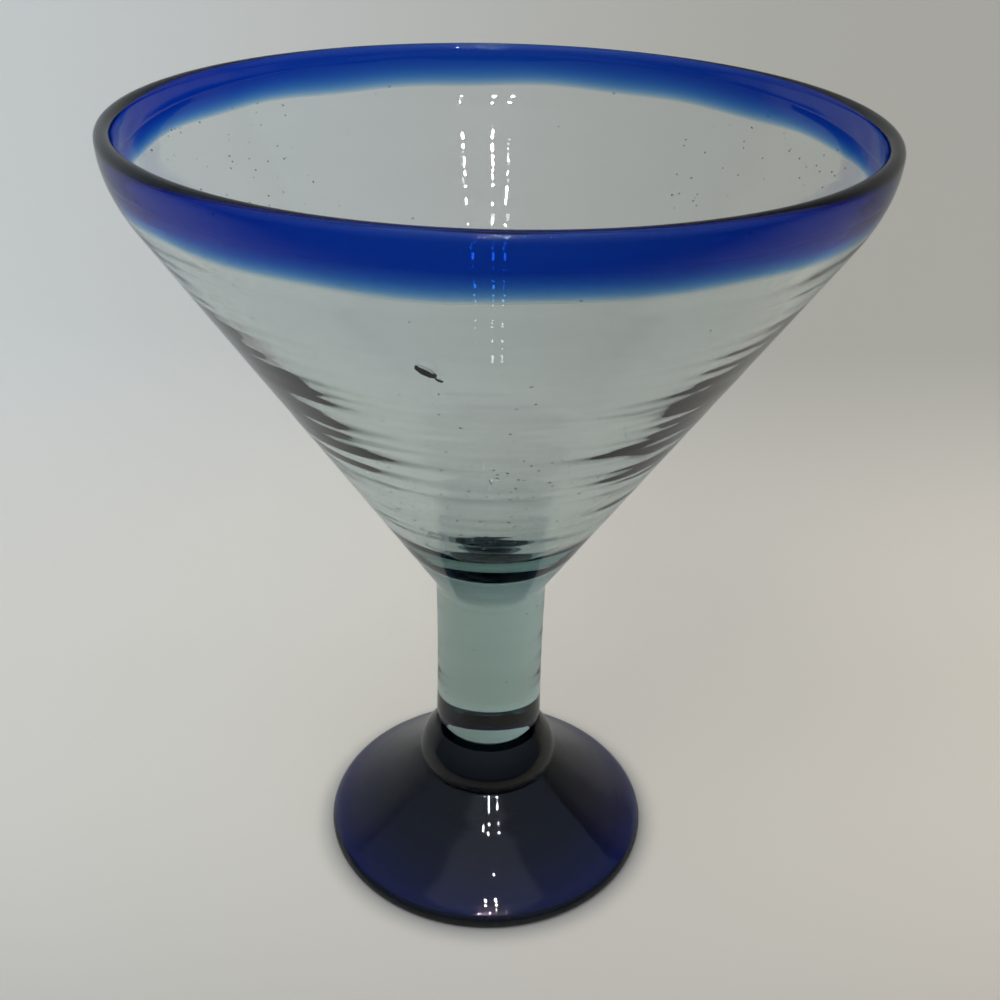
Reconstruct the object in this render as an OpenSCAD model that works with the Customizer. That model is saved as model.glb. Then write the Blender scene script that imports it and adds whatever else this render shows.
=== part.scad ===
// Hand-blown margarita glass. The origin is the centre of the foot, on the table, and +Z is up.

/* [Foot] */
// Radius of the foot at its edge
foot_r = 37.7; // [32:0.1:46]
// Height of the foot, from the table to the collar
foot_h = 19.5; // [15:0.5:24]
// Radius of the foot's top, under the collar
foot_top_r = 15.4; // [13:0.1:16]
// Thickness of the foot's rolled edge
foot_edge_t = 3.2; // [2.5:0.1:6]
// Dip of the foot's upper side below a straight slope
foot_dip = 0.8; // [0:0.1:2]
// Depth of the hollow under the foot
hollow_d = 2.5; // [1:0.1:5]
// Width of the flat ring that the glass stands on
rest_ring_w = 5; // [3:0.5:9]

/* [Collar] */
// Radius of the collar at its widest
collar_r = 16; // [15:0.1:19]
// Height of the collar, from the foot to the stem
collar_h = 10.5; // [8:0.1:18]
// Height of the collar's widest point above the foot
collar_bulge_h = 2.6; // [1.5:0.1:4]
// Width of the ledge of the collar outside its seat for the stem
collar_ledge_w = 3.8; // [3:0.1:4.5]

/* [Stem] */
// Radius of the stem at its ends
stem_r = 12.1; // [10:0.1:13.5]
// Height of the stem, from the collar to the bowl
stem_h = 37.6; // [25:0.1:60]
// Depth of the stem's waist
stem_waist = 0.2; // [0:0.05:1]
// Rounding of the stem's lower edge
stem_toe_round = 3.7; // [2:0.1:4.5]

/* [Bowl] */
// Outer radius of the bowl at the lip
rim_r = 71.2; // [60:0.1:80]
// Height of the bowl, from the stem to the lip
bowl_h = 102.4; // [85:0.1:120]
// Height of the upright brim, from the end of the cone to the lip
brim_h = 8; // [7:0.1:12]
// Wall of the bowl's cone near the lip, square to the wall
wall_t = 3; // [2:0.1:4]
// How much thicker the wall is low on the cone, square to the wall
wall_swell_t = 1.2; // [0:0.1:3]
// Share of the bowl's height below which the wall has its low thickness
swell_low_share = 0.36; // [0.3:0.01:0.45]
// Share of the bowl's height above which the wall has its thickness near the lip
swell_high_share = 0.78; // [0.6:0.01:0.78]
// Thickness of the bowl's wall at the lip
lip_t = 3; // [2:0.1:4]
// Height of the neck's curve between the stem and the cone
neck_bend_h = 4; // [2:0.1:6]
// Thickness of the solid glass between the stem and the drink
base_t = 10; // [4:0.1:14]

/* [Cobalt lip] */
// Height of the cobalt band on the outside of the lip
wrap_out_h = 11.5; // [8:0.1:20]
// Height of the cobalt band on the inside of the lip
wrap_in_h = 6; // [3:0.1:7]

/* [Hidden] */
$fn = 96;

// Straight pieces in each bend, and how far a cut runs past what it cuts
bend_steps = 8;
overrun = 1;

// Heights of the seams above the table
collar_z = foot_h;
stem_z = collar_z + collar_h;
bowl_z = stem_z + stem_h;
lip_z = bowl_z + bowl_h;

// The foot's edge is as round as its thickness allows, and half of it lies under the widest point
edge_round = foot_edge_t / 2;
ring_outer_r = foot_r - edge_round;
ring_inner_r = ring_outer_r - rest_ring_w;

// Radius of the flat seat between the collar and the stem
seat_r = stem_r - stem_toe_round;

// The cone's outer side runs from the neck's corner to the brim's corner
neck_z = bowl_z + neck_bend_h / 2;
brim_z = lip_z - brim_h;
cone_slope = (rim_r - stem_r) / (brim_z - neck_z);
cone_flare = sqrt(1 + cone_slope * cone_slope);
wall_run = wall_t * cone_flare;
function cone_r(z) = stem_r + cone_slope * (z - neck_z);

// The wall thins smoothly upwards between the two heights
swell_low_z = bowl_z + swell_low_share * bowl_h;
swell_high_z = bowl_z + swell_high_share * bowl_h;
function swell_share(z) = min(max((swell_high_z - z) / (swell_high_z - swell_low_z), 0), 1);
function swell_run(z) = wall_swell_t * cone_flare * pow(swell_share(z), 2) * (3 - 2 * swell_share(z));
function cavity_r(z) = cone_r(z) - wall_run - swell_run(z);

// The cavity's side meets the inside of the brim at one corner, and its floor at another
brim_inner_r = rim_r - lip_t;
brim_inner_z = neck_z + (brim_inner_r + wall_run - stem_r) / cone_slope;
floor_z = bowl_z + base_t;
floor_corner_r = cavity_r(floor_z);
floor_end_z = floor_z + floor_corner_r;

// The brim curves up to the middle of the rounded lip, by the same height above and below its corner
lip_mid_r = rim_r - lip_t / 2;
lip_mid_z = lip_z - lip_t / 2;
brim_bend_h = lip_mid_z - brim_z;
brim_inner_bend_h = lip_mid_z - brim_inner_z;

// The cobalt is as deep as the wall above the first height, and ends at the second
wrap_full_z = lip_z - wrap_in_h;
wrap_end_z = lip_z - wrap_out_h;

// A smooth curve from one point to another, which leaves and arrives along the lines to the corner
function bend(from, corner, to) = [
    for (i = [0:bend_steps])
        let (t = i / bend_steps)
        (1 - t) * (1 - t) * from + 2 * t * (1 - t) * corner + t * t * to
];

// Half outline of the foot: the hollow, the resting ring, the rolled edge and the sloping top
foot_top = [foot_top_r, foot_h];
foot_corner = [foot_r, foot_edge_t];
foot_mid = (foot_corner + foot_top) / 2 - [0, 2 * foot_dip];
foot_shoulder = foot_corner + (foot_mid - foot_corner) * foot_edge_t / norm(foot_mid - foot_corner);
function foot_outline() = concat(
    bend([0, hollow_d], [ring_inner_r / 2, hollow_d], [ring_inner_r, 0]),
    bend([ring_outer_r, 0], [foot_r, 0], [foot_r, edge_round]),
    bend([foot_r, edge_round], foot_corner, foot_shoulder),
    bend(foot_shoulder, foot_mid, foot_top),
    [[0, foot_h]]
);

// Half outline of the collar: the bulge over the foot, the bell-shaped side, the ledge, which slopes
// slightly down and outwards, and the stem's seat
collar_bulge_z = collar_z + collar_bulge_h;
collar_rim_r = seat_r + collar_ledge_w;
collar_rim_z = stem_z - collar_ledge_w / 8;
function collar_outline() = concat(
    [[0, collar_z]],
    bend([foot_top_r, collar_z], [collar_r, collar_z], [collar_r, collar_bulge_z]),
    bend([collar_r, collar_bulge_z], [collar_r, collar_bulge_z + collar_bulge_h],
        [collar_rim_r, collar_rim_z]),
    [[seat_r, stem_z], [0, stem_z]]
);

// Half outline of the stem: the rounded toe on the collar and a side with a slight waist
stem_toe_z = stem_z + stem_toe_round;
stem_mid_z = (stem_toe_z + bowl_z) / 2;
function stem_outline() = concat(
    [[0, stem_z]],
    bend([seat_r, stem_z], [stem_r, stem_z], [stem_r, stem_toe_z]),
    bend([stem_r, stem_toe_z], [stem_r - 2 * stem_waist, stem_mid_z], [stem_r, bowl_z]),
    [[0, bowl_z]]
);

// Points of the bowl's two cones at a given height
function on_cone(z) = [cone_r(z), z];
function on_cavity(z) = [cavity_r(z), z];

// Half section of the whole wall, bowl and lip together, up to the middle of the rounded lip
function wall_outline() = concat(
    [[0, bowl_z]],
    bend([stem_r, bowl_z], [stem_r, neck_z], on_cone(neck_z + neck_bend_h / 2)),
    bend(on_cone(brim_z - brim_bend_h), [rim_r, brim_z], [rim_r, lip_mid_z]),
    bend([brim_inner_r, lip_mid_z], [brim_inner_r, brim_inner_z],
        on_cavity(brim_inner_z - brim_inner_bend_h)),
    [for (i = [0:bend_steps]) on_cavity(swell_high_z + (swell_low_z - swell_high_z) * i / bend_steps)],
    bend(on_cavity(floor_end_z), [floor_corner_r, floor_z], [0, floor_z])
);

module wall_section() {
    polygon(wall_outline());
    translate([lip_mid_r, lip_mid_z]) circle(r = lip_t / 2);
}

// The part of the section that is cobalt: the top, and what lies outside a line that slants
// through the wall from its inner side down to its outer side
module wrap_zone() {
    outer_r = rim_r + overrun;
    inner_r = brim_inner_r - wall_t;
    polygon([
        on_cone(wrap_end_z),
        [outer_r, wrap_end_z],
        [outer_r, lip_z + overrun],
        [inner_r, lip_z + overrun],
        [inner_r, wrap_full_z],
        [brim_inner_r, wrap_full_z]
    ]);
}

module foot() {
    color("midnightblue") rotate_extrude() polygon(foot_outline());
}

module foot_collar() {
    color("midnightblue") rotate_extrude() polygon(collar_outline());
}

module stem() {
    color("darkseagreen") rotate_extrude() polygon(stem_outline());
}

module bowl() {
    color("lightgray") rotate_extrude() difference() {
        wall_section();
        wrap_zone();
    }
}

module lip_wrap() {
    color("mediumblue") rotate_extrude() intersection() {
        wall_section();
        wrap_zone();
    }
}

foot();
foot_collar();
stem();
bowl();
lip_wrap();
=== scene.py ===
import math
import random

import bpy
from mathutils import Matrix, Vector


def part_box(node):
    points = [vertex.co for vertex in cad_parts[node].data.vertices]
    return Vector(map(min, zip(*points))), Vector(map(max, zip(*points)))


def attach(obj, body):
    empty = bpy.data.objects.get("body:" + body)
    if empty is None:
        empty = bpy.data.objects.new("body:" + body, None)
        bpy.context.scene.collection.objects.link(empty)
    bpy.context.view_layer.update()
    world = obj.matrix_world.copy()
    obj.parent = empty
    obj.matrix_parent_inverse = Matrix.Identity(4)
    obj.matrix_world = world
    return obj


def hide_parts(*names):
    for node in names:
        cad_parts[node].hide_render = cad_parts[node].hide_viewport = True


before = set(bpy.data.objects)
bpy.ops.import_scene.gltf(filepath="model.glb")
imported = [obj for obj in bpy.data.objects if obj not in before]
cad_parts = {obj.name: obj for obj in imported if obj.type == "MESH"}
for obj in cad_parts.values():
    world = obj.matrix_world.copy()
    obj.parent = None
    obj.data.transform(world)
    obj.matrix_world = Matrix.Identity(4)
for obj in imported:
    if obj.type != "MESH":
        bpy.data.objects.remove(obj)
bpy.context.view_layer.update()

# The bowl is a gather of pale recycled glass, blown, opened into a cone and drawn upright at its
# lip. It keeps a thick solid base, the rings of the tools that turned it, and seeds of trapped air.
mm = 0.001
stem_low, stem_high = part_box("stem")
wrap_low, wrap_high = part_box("lip_wrap")
stem_r = stem_high.x
bowl_z = stem_high.z
lip_z = wrap_high.z
rim_r = wrap_high.x
wall = 3 * mm
wall_swell = 1.2 * mm
lip_thickness = 3 * mm
brim_h = 8 * mm
neck_bend_h = 4 * mm
base_thickness = 10 * mm
# Neighbours are fused, and a hair is left between them so that each keeps its own closed skin
seam_gap = 0.02 * mm

neck_z = bowl_z + neck_bend_h / 2
brim_z = lip_z - brim_h
cone_slope = (rim_r - stem_r) / (brim_z - neck_z)
wall_run = wall * math.hypot(1, cone_slope)
brim_inner_r = rim_r - lip_thickness
brim_inner_z = neck_z + (brim_inner_r + wall_run - stem_r) / cone_slope
lip_mid_z = lip_z - lip_thickness / 2
floor_z = bowl_z + base_thickness
# The wall is thicker low on the cone, and thins between two heights, given as shares of the bowl's
swell_run = wall_swell * math.hypot(1, cone_slope)
swell_low_z, swell_high_z = (bowl_z + share * (lip_z - bowl_z) for share in (0.36, 0.78))
floor_corner_r = stem_r + cone_slope * (floor_z - neck_z) - wall_run - swell_run
floor_end_z = floor_z + floor_corner_r


def turned_corner(z, corner_r, corner_z, reach):
    """Radius at height z where a cone turns upright, in a bend as high above its corner as below."""
    share = min(max((z - corner_z + reach) / (2 * reach), 0), 1)
    below_r = corner_r - cone_slope * reach
    return corner_r - (corner_r - below_r) * (1 - share) ** 2


def outer_r(z):
    """Radius of the wall's outside at height z."""
    reach = lip_mid_z - brim_z
    if z < brim_z - reach:
        return rim_r + cone_slope * (z - brim_z)
    return turned_corner(z, rim_r, brim_z, reach)


def inner_r(z):
    """Radius of the wall's inside at height z, above the curve of the floor."""
    reach = lip_mid_z - brim_inner_z
    if z < brim_inner_z - reach:
        share = min(max((swell_high_z - z) / (swell_high_z - swell_low_z), 0), 1)
        swell = swell_run * share * share * (3 - 2 * share)
        return brim_inner_r + cone_slope * (z - brim_inner_z) - swell
    return turned_corner(z, brim_inner_r, brim_inner_z, reach)


def bend(start, corner, end, steps):
    """Points of a smooth curve that leaves start and reaches end along the lines to the corner."""
    points = []
    for step in range(steps + 1):
        t = step / steps
        pulls = (((1 - t) ** 2, start), (2 * t * (1 - t), corner), (t ** 2, end))
        points.append(tuple(sum(weight * point[k] for weight, point in pulls) for k in (0, 1)))
    return points


def levels(start, end, spacing):
    """Evenly spaced heights from start to end, at most a spacing apart."""
    count = math.ceil(abs(end - start) / spacing)
    return [start + (end - start) * step / count for step in range(count + 1)]


def spin_outline(name, outline, steps):
    """Draws half an outline point by point, and spins it once round the glass's axis."""
    bpy.ops.object.select_all(action="DESELECT")
    first_r, first_z = outline[0]
    bpy.ops.mesh.primitive_plane_add(size=mm, location=(first_r, 0, first_z))
    piece = bpy.context.object
    piece.name = piece.data.name = name
    bpy.ops.object.transform_apply(location=True, rotation=False, scale=False)
    bpy.ops.object.mode_set(mode="EDIT")
    bpy.ops.mesh.merge(type="CENTER")
    for (from_r, from_z), (to_r, to_z) in zip(outline, outline[1:]):
        move = {"value": (to_r - from_r, 0, to_z - from_z)}
        bpy.ops.mesh.extrude_region_move(TRANSFORM_OT_translate=move)
    bpy.ops.mesh.select_all(action="SELECT")
    bpy.ops.mesh.spin(steps=steps, angle=2 * math.pi, center=(0, 0, 0), axis=(0, 0, 1))
    bpy.ops.mesh.select_all(action="SELECT")
    bpy.ops.mesh.remove_doubles(threshold=seam_gap / 10)
    bpy.ops.mesh.normals_make_consistent(inside=False)
    bpy.ops.object.mode_set(mode="OBJECT")
    bpy.ops.object.shade_smooth_by_angle(angle=math.radians(40))
    return piece


def mark_fused(piece, fused_at):
    """Faces that are fused to a neighbour take 1, and light goes straight through them."""
    fused = piece.data.attributes.new("fused", "FLOAT", "FACE")
    for face in piece.data.polygons:
        radius = math.hypot(face.center.x, face.center.y)
        fused.data[face.index].value = float(fused_at(radius, face.center))


def tool_rings(piece, depth, spacing, reach, strength_at):
    """Presses uneven rings into a turned piece, as deep at each point as strength_at says."""
    group = piece.vertex_groups.new(name="tooled")
    for vertex in piece.data.vertices:
        strength = strength_at(math.hypot(vertex.co.x, vertex.co.y), vertex.co)
        if strength > 0:
            group.add([vertex.index], strength, "REPLACE")
    bpy.ops.object.empty_add()
    stretch = bpy.context.object
    stretch.scale = (reach, reach, spacing)
    relief = bpy.data.textures.new("ring_relief", "CLOUDS")
    relief.noise_scale = 1
    relief.noise_depth = 2
    bpy.ops.object.select_all(action="DESELECT")
    bpy.context.view_layer.objects.active = piece
    piece.select_set(True)
    press = piece.modifiers.new("press", "DISPLACE")
    press.texture = relief
    press.texture_coords = "OBJECT"
    press.texture_coords_object = stretch
    press.vertex_group = group.name
    press.strength = depth
    bpy.ops.object.modifier_apply(modifier=press.name)
    piece.vertex_groups.clear()
    bpy.data.objects.remove(stretch)
    bpy.data.textures.remove(relief)


def trap_air(piece, bubbles):
    """Joins bubbles to a piece as voids in its glass. A bubble is a place, a turn and three radii."""
    bpy.ops.object.select_all(action="DESELECT")
    bpy.ops.mesh.primitive_uv_sphere_add(segments=8, ring_count=5, radius=1)
    first = bpy.context.object
    bpy.ops.object.mode_set(mode="EDIT")
    bpy.ops.mesh.flip_normals()
    bpy.ops.object.mode_set(mode="OBJECT")
    bpy.ops.object.shade_smooth()
    for place, turn, radii in bubbles:
        bubble = first.copy()
        bubble.data = first.data.copy()
        bubble.matrix_world = Matrix.Translation(place) @ turn.to_4x4() @ Matrix.Diagonal((*radii, 1))
        bpy.context.collection.objects.link(bubble)
        bubble.select_set(True)
    bpy.data.objects.remove(first)
    piece.select_set(True)
    bpy.context.view_layer.objects.active = piece
    bpy.ops.object.join()


def in_wall(azimuth, z, depth_share):
    """A point in the bowl's wall and its directions: round the bowl, up the wall and out of it."""
    radius = inner_r(z) + (outer_r(z) - inner_r(z)) * depth_share
    outward = Vector((math.cos(azimuth), math.sin(azimuth), 0))
    round_bowl = Vector((-math.sin(azimuth), math.cos(azimuth), 0))
    up_wall = (outward * cone_slope + Vector((0, 0, 1))).normalized()
    turn = Matrix((round_bowl, up_wall, round_bowl.cross(up_wall))).transposed()
    return outward * radius + Vector((0, 0, z)), turn


# The cobalt reaches lower on the outside than on the inside
cobalt_inside_h = 6 * mm
wrap_inner_z = lip_z - cobalt_inside_h
wrap_outer_z = wrap_low.z
ring_step = 0.6 * mm
steps_round = 160
floor_end = (inner_r(floor_end_z), floor_end_z)
bowl_floor = bend((0, floor_z), (floor_corner_r, floor_z), floor_end, steps=16)
cavity_side = [(inner_r(z), z) for z in levels(floor_end_z, wrap_inner_z, ring_step)[1:]]
outer_side = [(outer_r(z), z) for z in levels(wrap_outer_z, neck_z + neck_bend_h / 2, ring_step)]
neck = bend(outer_side[-1], (stem_r, neck_z), (stem_r, bowl_z), steps=8)[1:]
bowl_outline = bowl_floor + cavity_side + outer_side + neck + [(0, bowl_z)]
bowl = spin_outline("pale_bowl", bowl_outline, steps_round)

far_rise_inside = 3.5 * mm
far_rise_outside = 1 * mm
ragged_h = 0.2 * mm


def inside_rise(azimuth):
    """The cobalt is shallower on the far side, so its inner edge rises there."""
    return far_rise_inside * max(math.sin(azimuth), 0)


def outside_rise(azimuth):
    """Its outer edge rises there too, and is ragged all round."""
    ragged = ragged_h * (2 + math.sin(5 * azimuth + 1) + math.sin(13 * azimuth + 2))
    return far_rise_outside * max(math.sin(azimuth), 0) + ragged


def lift_end(piece, skin_r, hold_z, end_z, rise):
    """Stretches one skin of a turned piece, from hold_z to its end, so that the end moves up."""
    rounding = 0.01
    for vertex in piece.data.vertices:
        place = vertex.co.copy()
        radius = math.hypot(place.x, place.y)
        share = (place.z - hold_z) / (end_z - hold_z)
        if 0 < share < 1 + rounding and abs(radius - skin_r(place.z)) < seam_gap:
            z = place.z + share * rise(math.atan2(place.y, place.x))
            spread = skin_r(z) / radius
            vertex.co = (place.x * spread, place.y * spread, z)


lift_end(bowl, inner_r, wrap_inner_z - brim_h, wrap_inner_z, inside_rise)
lift_end(bowl, outer_r, wrap_outer_z - brim_h, wrap_outer_z, outside_rise)
ring_low_z, ring_full_z, ring_fade_z, ring_end_z = (level * mm for level in (72, 80, 132, 156))


def ring_strength(radius, point):
    """The rings are deepest low on the cone, and fade out towards the neck and the lip."""
    rise = (point.z - ring_low_z) / (ring_full_z - ring_low_z)
    fall = (ring_end_z - point.z) / (ring_end_z - ring_fade_z)
    on_wall = radius > floor_corner_r
    return max(min(rise, fall, 1), 0) * on_wall


def mid_wall(radius, z):
    """Whether a point lies between the two skins, well away from both."""
    return inner_r(z) + wall / 4 < radius < outer_r(z) - wall / 4


def bowl_fused(radius, point):
    """The bowl is fused to the stem at its bottom, and to the cobalt across its wall."""
    on_stem = point.z < bowl_z + seam_gap
    return on_stem or mid_wall(radius, point.z) and point.z > brim_z - brim_h


tool_rings(bowl, depth=0.12 * mm, spacing=4 * mm, reach=60 * mm, strength_at=ring_strength)
mark_fused(bowl, bowl_fused)

draw = random.Random(7)
seed_depths = (0.3, 0.7)
seed_sizes = (0.08, 0.24)
seed_stretches = (1, 1.8)
seed_flatness = 0.8
# Clusters of seeds: azimuths in degrees, where the near side is -90, heights, and how many
clusters = (((-180, 180), (88, 162), 130), ((135, 178), (138, 162), 70),
            ((5, 50), (140, 162), 50), ((-125, -60), (88, 125), 90))
seeds = []
for azimuths, heights, count in clusters:
    for _ in range(count):
        azimuth = math.radians(draw.uniform(*azimuths))
        z = draw.uniform(*heights) * mm
        place, turn = in_wall(azimuth, z, draw.uniform(*seed_depths))
        size = draw.uniform(*seed_sizes) * mm
        seeds.append((place, turn, (size * draw.uniform(*seed_stretches), size, size * seed_flatness)))
# One long flat blister lies slantwise in the middle of the near wall, with a short tail
slant, tilt = math.radians(-46), math.radians(20)
lie = Matrix.Rotation(slant, 3, "Z") @ Matrix.Rotation(tilt, 3, "X")
for azimuth, z, radii in ((-100.3, 144.5, (2.2, 1.5, 0.3)), (-98.5, 142.8, (0.8, 0.6, 0.15))):
    place, turn = in_wall(math.radians(azimuth), z * mm, 0.5)
    seeds.append((place, turn @ lie, [radius * mm for radius in radii]))
trap_air(bowl, seeds)


def surface_group():
    """Blown glass's skin: fine rings from turning, a soft swell, and faint streaks in the melt."""
    group = bpy.data.node_groups.new("blown_skin", "ShaderNodeTree")
    sockets = group.interface
    sockets.new_socket("Position", in_out="INPUT", socket_type="NodeSocketVector")
    for name in ("Ring Depth", "Swell Depth", "Streaks"):
        sockets.new_socket(name, in_out="INPUT", socket_type="NodeSocketFloat")
    sockets.new_socket("Normal", in_out="OUTPUT", socket_type="NodeSocketVector")
    sockets.new_socket("Streak Colour", in_out="OUTPUT", socket_type="NodeSocketColor")
    nodes, wires = group.nodes, group.links
    entry = nodes.new("NodeGroupInput")
    leave = nodes.new("NodeGroupOutput")

    def noise(scale, detail, squeeze):
        place = nodes.new("ShaderNodeMapping")
        place.inputs["Scale"].default_value = squeeze
        wires.new(entry.outputs["Position"], place.inputs["Vector"])
        cloud = nodes.new("ShaderNodeTexNoise")
        cloud.inputs["Scale"].default_value = scale
        cloud.inputs["Detail"].default_value = detail
        wires.new(place.outputs["Vector"], cloud.inputs["Vector"])
        return cloud.outputs["Fac"]

    def raise_by(cloud, depth, below):
        bump = nodes.new("ShaderNodeBump")
        bump.inputs["Strength"].default_value = 1
        wires.new(entry.outputs[depth], bump.inputs["Distance"])
        wires.new(cloud, bump.inputs["Height"])
        if below:
            wires.new(below, bump.inputs["Normal"])
        return bump.outputs["Normal"]

    rings = noise(scale=220, detail=1, squeeze=(0.12, 0.12, 1))
    swell = noise(scale=120, detail=1, squeeze=(1, 1, 1))
    ringed = raise_by(rings, "Ring Depth", None)
    wires.new(raise_by(swell, "Swell Depth", ringed), leave.inputs["Normal"])
    melt = noise(scale=60, detail=3, squeeze=(1, 1, 4))
    strength = nodes.new("ShaderNodeMath")
    strength.operation = "MULTIPLY"
    wires.new(melt, strength.inputs[0])
    wires.new(entry.outputs["Streaks"], strength.inputs[1])
    tint = nodes.new("ShaderNodeMix")
    tint.data_type = "RGBA"
    tint.inputs["A"].default_value = (1, 1, 1, 1)
    tint.inputs["B"].default_value = (0, 0, 0, 1)
    wires.new(strength.outputs["Value"], tint.inputs["Factor"])
    wires.new(tint.outputs["Result"], leave.inputs["Streak Colour"])
    return group


blown_skin = surface_group()


def glass(name, absorbed, ring_depth, swell_depth, streaks):
    """Clear glass whose melt absorbs red, green and blue light, each at so much a metre."""
    material = bpy.data.materials.new(name)
    material.use_nodes = True
    nodes, wires = material.node_tree.nodes, material.node_tree.links
    shader = nodes["Principled BSDF"]
    shader.inputs["Transmission Weight"].default_value = 1
    shader.inputs["Roughness"].default_value = 0
    place = nodes.new("ShaderNodeTexCoord")
    skin = nodes.new("ShaderNodeGroup")
    skin.node_tree = blown_skin
    skin.inputs["Ring Depth"].default_value = ring_depth
    skin.inputs["Swell Depth"].default_value = swell_depth
    skin.inputs["Streaks"].default_value = streaks
    wires.new(place.outputs["Object"], skin.inputs["Position"])
    wires.new(skin.outputs["Normal"], shader.inputs["Normal"])
    wires.new(skin.outputs["Streak Colour"], shader.inputs["Base Color"])
    # A fused face bends no light, and any other bends it as glass does
    full_bend, no_bend = 1.5, 1
    fused = nodes.new("ShaderNodeAttribute")
    fused.attribute_name = "fused"
    bending = nodes.new("ShaderNodeMapRange")
    bending.inputs["To Min"].default_value = full_bend
    bending.inputs["To Max"].default_value = no_bend
    wires.new(fused.outputs["Fac"], bending.inputs["Value"])
    wires.new(bending.outputs["Result"], shader.inputs["IOR"])
    # A colour can't go below 0, so the density leaves the most absorbed one a little above it
    deepest_share = 0.98
    melt = nodes.new("ShaderNodeVolumeAbsorption")
    density = max(absorbed) / deepest_share
    melt.inputs["Density"].default_value = density
    melt.inputs["Color"].default_value = (*(1 - share / density for share in absorbed), 1)
    wires.new(melt.outputs["Volume"], nodes["Material Output"].inputs["Volume"])
    return material


pale_glass = glass("pale_recycled_glass", absorbed=(42, 29, 30),
                   ring_depth=0.13 * mm, swell_depth=0.02 * mm, streaks=0.05)
bowl.data.materials.append(pale_glass)
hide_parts("bowl")
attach(bowl, "root")

# The lip wrap is a thread of cobalt glass laid round the hot lip and melted in. It colours the whole
# wall at the top, and feathers out down the outside where the pale glass takes over.
lip_round_r = lip_thickness / 2
lip_mid_r = rim_r - lip_round_r
lip_steps = 14
lip_angles = [math.pi * step / lip_steps for step in range(1, lip_steps)]
lip_bend = [(lip_mid_r + lip_round_r * math.cos(angle), lip_mid_z + lip_round_r * math.sin(angle))
            for angle in lip_angles]
cobalt_inner_z = wrap_inner_z + seam_gap
cobalt_outer_z = wrap_outer_z + seam_gap
wrap_outside = [(outer_r(z), z) for z in levels(cobalt_outer_z, lip_mid_z, ring_step)]
wrap_inside = [(inner_r(z), z) for z in levels(lip_mid_z, cobalt_inner_z, ring_step)]
wrap_outline = wrap_outside + lip_bend + wrap_inside + wrap_outside[:1]
wrap = spin_outline("cobalt_lip", wrap_outline, steps_round)
lift_end(wrap, inner_r, lip_mid_z, cobalt_inner_z, inside_rise)
lift_end(wrap, outer_r, lip_mid_z, cobalt_outer_z, outside_rise)


def wrap_fused(radius, point):
    """The cobalt is fused to the bowl across the wall, below its own solid lip."""
    return mid_wall(radius, point.z) and point.z < lip_mid_z - lip_thickness


mark_fused(wrap, wrap_fused)
lip_glass = glass("cobalt_lip_glass", absorbed=(1900, 930, 200),
                  ring_depth=0.2 * mm, swell_depth=0.02 * mm, streaks=0.02)
wrap.data.materials.append(lip_glass)
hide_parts("lip_wrap")
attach(wrap, "root")

# The stem is a solid gather of pale glass, drawn out and fused to the bowl's base. Its lower edge is
# rounded, and its flat seat on the cobalt collar is fused only on the far side.
stem_z = stem_low.z
toe_round = 3.7 * mm
waist = 0.2 * mm
seat_r = stem_r - toe_round
seat_step = 0.3 * mm
stem_steps_round = 128
toe_z = stem_z + toe_round
waist_z = (toe_z + bowl_z) / 2
stem_top_z = bowl_z - seam_gap
seat_rings = [(radius, stem_z) for radius in levels(0, seat_r, seat_step)]
toe = bend((seat_r, stem_z), (stem_r, stem_z), (stem_r, toe_z), steps=6)[1:]
stem_side = bend((stem_r, toe_z), (stem_r - 2 * waist, waist_z), (stem_r, stem_top_z), steps=40)[1:]
stem_outline = seat_rings + toe + stem_side + [(0, stem_top_z)]
stem = spin_outline("pale_stem", stem_outline, stem_steps_round)
# Its seeds lie near the surface of the near half
stem_seed_count = 24
stem_seed_reach, stem_seed_heights = (7, 11.4), (38, 66)
stem_seed_sizes, stem_seed_stretches = (0.06, 0.14), (1, 3)
stem_seeds = []
for _ in range(stem_seed_count):
    azimuth = draw.uniform(-math.pi, 0)
    radius = draw.uniform(*stem_seed_reach) * mm
    z = draw.uniform(*stem_seed_heights) * mm
    turn = Matrix.Rotation(azimuth + math.pi / 2, 3, "Z")
    size = draw.uniform(*stem_seed_sizes) * mm
    place = Vector((radius * math.cos(azimuth), radius * math.sin(azimuth), z))
    stem_seeds.append((place, turn, (size * draw.uniform(*stem_seed_stretches), size, size)))
# A film of air under the near side of the seat mirrors the light
film_edge_y = -0.4 * mm


def seat_fused(radius, point):
    """Whether a face of the stem or the collar lies on the fused part of the seat."""
    on_seat = abs(point.z - stem_z) < 2 * seam_gap and radius < seat_r
    return on_seat and point.y > film_edge_y


mark_fused(stem, lambda radius, point: seat_fused(radius, point) or point.z > stem_top_z - seam_gap)
trap_air(stem, stem_seeds)
stem.data.materials.append(pale_glass)
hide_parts("stem")
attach(stem, "root")

# The collar is a bit of cobalt glass dropped on the foot and squeezed, so that it bulges where it
# meets the foot and draws in like a bell under the stem.
collar_low, collar_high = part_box("foot_collar")
collar_r = collar_high.x
collar_z = collar_low.z
bulge_h = 2.6 * mm
ledge_w = 3.8 * mm
ledge_drop = ledge_w / 8
foot_top_r = 15.4 * mm
bulge_z = collar_z + bulge_h
collar_top_z = stem_z - seam_gap
ledge_edge = (seat_r + ledge_w, collar_top_z - ledge_drop)
collar_base = bend((foot_top_r, collar_z), (collar_r, collar_z), (collar_r, bulge_z), steps=8)
collar_side = bend((collar_r, bulge_z), (collar_r, bulge_z + bulge_h), ledge_edge, steps=24)[1:]
collar_seat = [(radius, collar_top_z) for radius in levels(seat_r, 0, seat_step)]
collar_outline = [(0, collar_z)] + collar_base + collar_side + collar_seat
collar = spin_outline("cobalt_collar", collar_outline, stem_steps_round)
mark_fused(collar, lambda radius, point: seat_fused(radius, point) or point.z < collar_z + seam_gap)
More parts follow.
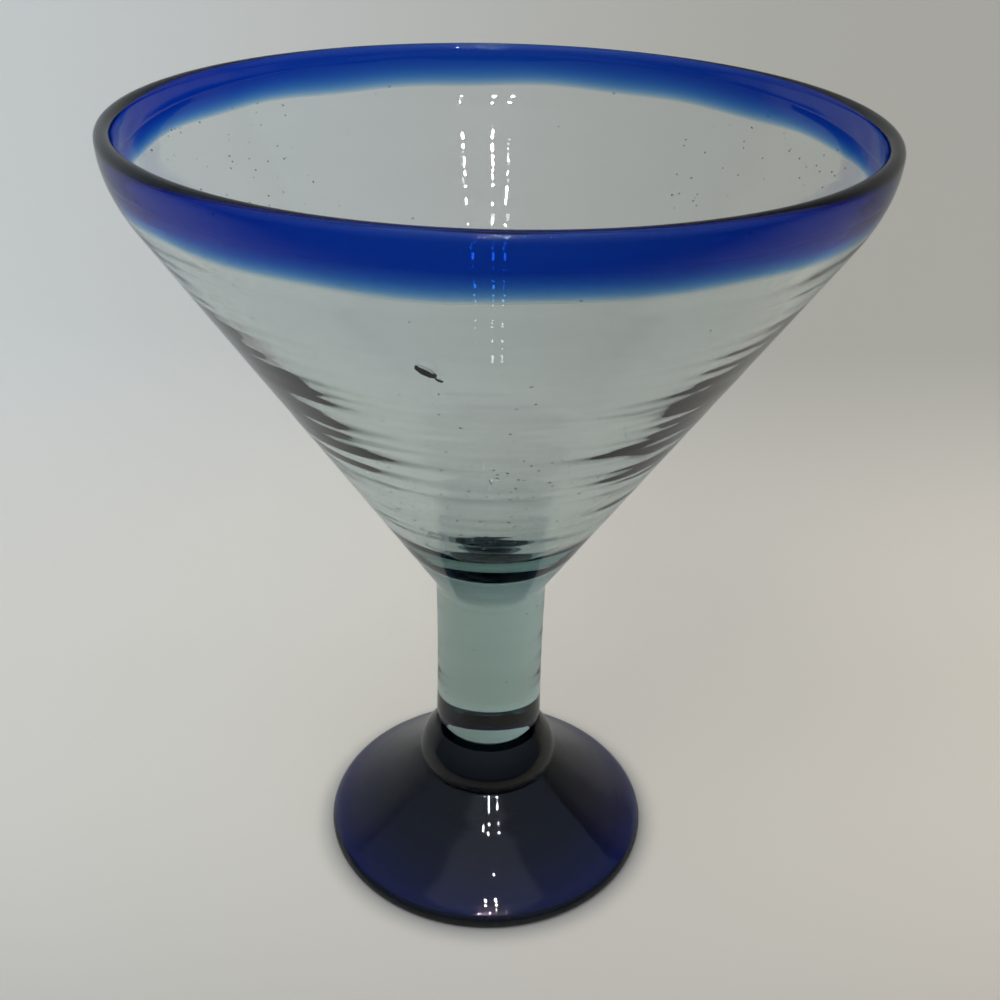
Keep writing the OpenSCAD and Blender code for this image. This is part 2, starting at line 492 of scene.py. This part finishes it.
foot_glass = glass("cobalt_foot_glass", absorbed=(1500, 620, 160),
                   ring_depth=0.25 * mm, swell_depth=0.03 * mm, streaks=0.02)
collar.data.materials.append(foot_glass)
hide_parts("foot_collar")
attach(collar, "root")

# The foot is a gather of cobalt glass, pressed and flared into a low cone. Its edge is rolled, and it
# is hollow underneath, so that the glass stands on a ring.
foot_low, foot_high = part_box("foot")
foot_r = foot_high.x
foot_edge = 3.2 * mm
foot_dip = 0.8 * mm
hollow_depth = 2.5 * mm
resting_ring_w = 5 * mm
foot_top_z = collar_z - seam_gap
ring_outer_r = foot_r - foot_edge / 2
ring_inner_r = ring_outer_r - resting_ring_w
middle_r = (foot_r + foot_top_r) / 2
middle_z = (foot_edge + collar_z) / 2 - 2 * foot_dip
slope_share = foot_edge / math.hypot(middle_r - foot_r, middle_z - foot_edge)
shoulder_r = foot_r + (middle_r - foot_r) * slope_share
shoulder_z = foot_edge + (middle_z - foot_edge) * slope_share
shoulder = (shoulder_r, shoulder_z)
hollow = bend((0, hollow_depth), (ring_inner_r / 2, hollow_depth), (ring_inner_r, 0), steps=32)
roll_under = bend((ring_outer_r, 0), (foot_r, 0), (foot_r, foot_edge / 2), steps=8)
roll_over = bend((foot_r, foot_edge / 2), (foot_r, foot_edge), shoulder, steps=12)[1:]
foot_slope = bend(shoulder, (middle_r, middle_z), (foot_top_r, foot_top_z), steps=48)[1:]
foot_outline = hollow + roll_under + roll_over + foot_slope + [(0, foot_top_z)]
foot = spin_outline("cobalt_foot", foot_outline, steps_round)
mark_fused(foot, lambda radius, point: point.z > foot_top_z - seam_gap)
foot.data.materials.append(foot_glass)
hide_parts("foot")
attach(foot, "root")

# The stage is a pale cloth that lies flat under the glass and sweeps up close behind it. It is a
# plane whose far edge is drawn up into a wall, with the fold between them rounded.
cloth_front, cloth_bend, cloth_top = -0.9, 0.13, 0.9
cloth_width = 3
cloth_lean = 0.2
cloth_sweep = 0.07
bpy.ops.object.select_all(action="DESELECT")
bpy.ops.mesh.primitive_plane_add(size=1, location=(0, (cloth_front + cloth_bend) / 2, 0))
cloth = bpy.context.object
cloth.name = cloth.data.name = "cloth"
cloth.scale = (cloth_width, cloth_bend - cloth_front, 1)
bpy.ops.object.transform_apply(location=True, rotation=False, scale=True)
bpy.ops.object.mode_set(mode="EDIT")
bpy.ops.mesh.select_all(action="DESELECT")
bpy.ops.object.mode_set(mode="OBJECT")
for edge in cloth.data.edges:
    edge.select = all(cloth.data.vertices[k].co.y > 0 for k in edge.vertices)
bpy.ops.object.mode_set(mode="EDIT")
bpy.ops.mesh.select_mode(type="EDGE")
bpy.ops.mesh.extrude_region_move(TRANSFORM_OT_translate={"value": (0, cloth_lean, cloth_top)})
bpy.ops.object.mode_set(mode="OBJECT")
for edge in cloth.data.edges:
    ends = [cloth.data.vertices[k].co for k in edge.vertices]
    edge.select = all(abs(end.y - cloth_bend) < mm and end.z < mm for end in ends)
bpy.ops.object.mode_set(mode="EDIT")
bpy.ops.mesh.bevel(offset=cloth_sweep, segments=24, affect="EDGES")
bpy.ops.object.mode_set(mode="OBJECT")
bpy.ops.object.shade_smooth()

cloth_finish = bpy.data.materials.new("pale_cloth")
cloth_finish.use_nodes = True
nodes, wires = cloth_finish.node_tree.nodes, cloth_finish.node_tree.links
cloth_shader = nodes["Principled BSDF"]
cloth_shader.inputs["Roughness"].default_value = 1
place = nodes.new("ShaderNodeTexCoord")
on_cloth = nodes.new("ShaderNodeSeparateXYZ")
wires.new(place.outputs["Object"], on_cloth.inputs["Vector"])
across, along, upwards = (on_cloth.outputs[axis] for axis in ("X", "Y", "Z"))


# These three add nodes to the tree at hand, which is the cloth's first and then the room's
def ramp(source, start, end, low, high):
    """A value that goes from low at start to high at end of the source, and holds beyond them."""
    ease = nodes.new("ShaderNodeMapRange")
    ease.interpolation_type = "SMOOTHSTEP"
    for name, value in (("From Min", start), ("From Max", end), ("To Min", low), ("To Max", high)):
        ease.inputs[name].default_value = value
    wires.new(source, ease.inputs["Value"])
    return ease.outputs["Result"]


def blend(share, first, second):
    """Mixes two colours, each a constant or a socket."""
    mix = nodes.new("ShaderNodeMix")
    mix.data_type = "RGBA"
    wires.new(share, mix.inputs["Factor"])
    for name, colour in (("A", first), ("B", second)):
        if isinstance(colour, tuple):
            mix.inputs[name].default_value = colour
        else:
            wires.new(colour, mix.inputs[name])
    return mix.outputs["Result"]


def combine(operation, first, second):
    """Works on two values, each a constant or a socket."""
    worked = nodes.new("ShaderNodeMath")
    worked.operation = operation
    for slot, value in enumerate((first, second)):
        if isinstance(value, float):
            worked.inputs[slot].default_value = value
        else:
            wires.new(value, worked.inputs[slot])
    return worked.outputs["Value"]


# Painted shade: the wall darkens to the right behind the glass, and the floor stays paler. Towards the
# camera the floor's colour fades to near black, a painted shade standing in for the dark of the room
wall_left, wall_right = (0.74, 0.745, 0.7, 1), (0.53, 0.5, 0.425, 1)
floor_left, floor_right = (0.71, 0.68, 0.6, 1), (0.735, 0.655, 0.535, 1)
near_painted_shade = (0.05, 0.05, 0.06, 1)
wall_colour = blend(ramp(across, -0.2, 0.12, 0, 1), wall_left, wall_right)
floor_colour = blend(ramp(across, -0.2, 0.2, 0, 1), floor_left, floor_right)
cloth_colour = blend(ramp(upwards, 0.005, 0.07, 0, 1), floor_colour, wall_colour)
# Painted shade: the floor's colour fades to near black towards the camera
cloth_colour = blend(ramp(along, -0.28, 0.02, 1, 0), cloth_colour, near_painted_shade)
wires.new(cloth_colour, cloth_shader.inputs["Base Color"])
# Painted light: the cloth glows brighter than the dim room lights it, less so in mirrors, and not at
# its top and its sides. Under and just round the foot the glow nearly stops, a painted shadow
mirror_share = 0.4
shaded_glow, full_glow = 0.05, 0.42
rays = nodes.new("ShaderNodeLightPath")
seen = combine("MAXIMUM", rays.outputs["Is Camera Ray"], rays.outputs["Is Transmission Ray"])
seen = combine("MAXIMUM", seen, combine("MULTIPLY", rays.outputs["Is Glossy Ray"], mirror_share))
off_axis = nodes.new("ShaderNodeVectorMath")
off_axis.operation = "LENGTH"
wires.new(place.outputs["Object"], off_axis.inputs[0])
# Painted shadow: the glow drops to a trace under the foot and rises again just beyond its edge
foot_shadowed_glow = ramp(off_axis.outputs["Value"], 0.95 * foot_r, 1.15 * foot_r, shaded_glow, full_glow)
glow = combine("MULTIPLY", foot_shadowed_glow, seen)
glow = combine("MULTIPLY", glow, ramp(upwards, 0.2, 0.6, 1, 0))
glow = combine("MULTIPLY", glow, ramp(combine("ABSOLUTE", across, 0.0), 0.3, 0.8, 1, 0))
wires.new(cloth_colour, cloth_shader.inputs["Emission Color"])
wires.new(glow, cloth_shader.inputs["Emission Strength"])
# Seen from its back the cloth is see-through, so that it doesn't hide the glass from behind
facing = nodes.new("ShaderNodeNewGeometry")
clear = nodes.new("ShaderNodeBsdfTransparent")
two_sides = nodes.new("ShaderNodeMixShader")
wires.new(facing.outputs["Backfacing"], two_sides.inputs["Fac"])
wires.new(cloth_shader.outputs["BSDF"], two_sides.inputs[1])
wires.new(clear.outputs["BSDF"], two_sides.inputs[2])
wires.new(two_sides.outputs["Shader"], nodes["Material Output"].inputs["Surface"])
cloth.data.materials.append(cloth_finish)

# The room is dim, with one broad soft lamp over the left shoulder and a cluster of small ones above
# the camera, whose images sparkle in the glass.
world = bpy.data.worlds.new("room")
bpy.context.scene.world = world
world.use_nodes = True
nodes, wires = world.node_tree.nodes, world.node_tree.links
way = nodes.new("ShaderNodeTexCoord")
way_parts = nodes.new("ShaderNodeSeparateXYZ")
wires.new(way.outputs["Generated"], way_parts.inputs["Vector"])
room_low, room_high = (0.12, 0.16, 0.22, 1), (0.3, 0.36, 0.46, 1)
room_colour = blend(ramp(way_parts.outputs["Z"], 0, 0.8, 0, 1), room_low, room_high)
# The ceiling is lit in a round patch with a soft edge, a little on the camera's side
lit_ceiling = (0.55, 0.62, 0.76, 1)
patch_elevation, patch_reach = math.radians(76), math.radians(24)
patch_start, patch_full = (math.cos(patch_reach * share) for share in (1.1, 0.9))
toward_patch = nodes.new("ShaderNodeVectorMath")
toward_patch.operation = "DOT_PRODUCT"
toward_patch.inputs[1].default_value = (0, -math.cos(patch_elevation), math.sin(patch_elevation))
wires.new(way.outputs["Generated"], toward_patch.inputs[0])
in_patch = ramp(toward_patch.outputs["Value"], patch_start, patch_full, 0, 1)
room_colour = blend(in_patch, room_colour, lit_ceiling)
wires.new(room_colour, nodes["Background"].inputs["Color"])


def hang_lamp(name, azimuth, elevation, distance, width, length, radiance):
    """An oval lamp that faces the glass, from an azimuth where the near side is -90."""
    a, e = math.radians(azimuth), math.radians(elevation)
    direction = Vector((math.cos(a) * math.cos(e), math.sin(a) * math.cos(e), math.sin(e)))
    middle = Vector((0, 0, lip_z / 2))
    lamp = bpy.data.lights.new(name, "AREA")
    lamp.shape = "ELLIPSE"
    lamp.size = width
    lamp.size_y = length
    area = math.pi * width * length / 4
    lamp.energy = radiance * math.pi * area
    holder = bpy.data.objects.new(name, lamp)
    bpy.context.collection.objects.link(holder)
    holder.location = middle + direction * distance
    holder.rotation_euler = (-direction).to_track_quat("-Z", "Y").to_euler()
    return holder


key = hang_lamp("soft_key", -125, 60, distance=1.8, width=1.2, length=1.2, radiance=1.3)
key.visible_glossy = False
key.visible_transmission = False
# The small lamps: azimuth and elevation in degrees, and width
cluster = ((-94, 53, 0.02), (-86, 54, 0.02), (-71, 53, 0.02), (-79, 62, 0.02), (-90, 69, 0.03),
           (-77, 69, 0.03), (-95, 47.2, 0.035), (-87, 47.4, 0.035), (-73, 47, 0.035))
for azimuth, elevation, width in cluster:
    lamp = hang_lamp("small_lamp", azimuth, elevation, 1.6, width, length=0.04, radiance=300)
    lamp.visible_diffuse = False

# The camera stands close and looks down into the bowl. Its place, turn and focal length were fitted
# to the glass's outline in the photograph.
camera = bpy.data.cameras.new("camera")
camera_holder = bpy.data.objects.new("camera", camera)
bpy.context.collection.objects.link(camera_holder)
camera_place = (0, -0.23086, 0.220745)
pitch, roll, yaw = 0.5188, 0.0243, 0.0067
focal_pixels, frame_pixels = 1245, 1000
ahead = Vector((math.sin(yaw) * math.cos(pitch), math.cos(yaw) * math.cos(pitch), -math.sin(pitch)))
level_right = Vector((math.cos(yaw), -math.sin(yaw), 0))
level_up = level_right.cross(ahead)
right = math.cos(roll) * level_right + math.sin(roll) * level_up
up = math.cos(roll) * level_up - math.sin(roll) * level_right
camera_turn = Matrix((right, up, -ahead)).transposed().to_4x4()
camera_holder.matrix_world = Matrix.Translation(camera_place) @ camera_turn
camera.sensor_width = 36
camera.lens = camera.sensor_width * focal_pixels / frame_pixels
camera.clip_start = 0.01
scene = bpy.context.scene
scene.camera = camera_holder
scene.view_settings.view_transform = "Standard"
# Light crosses up to six walls of glass on its way through the bowl and the stem
scene.cycles.max_bounces = 24
scene.cycles.transmission_bounces = 24
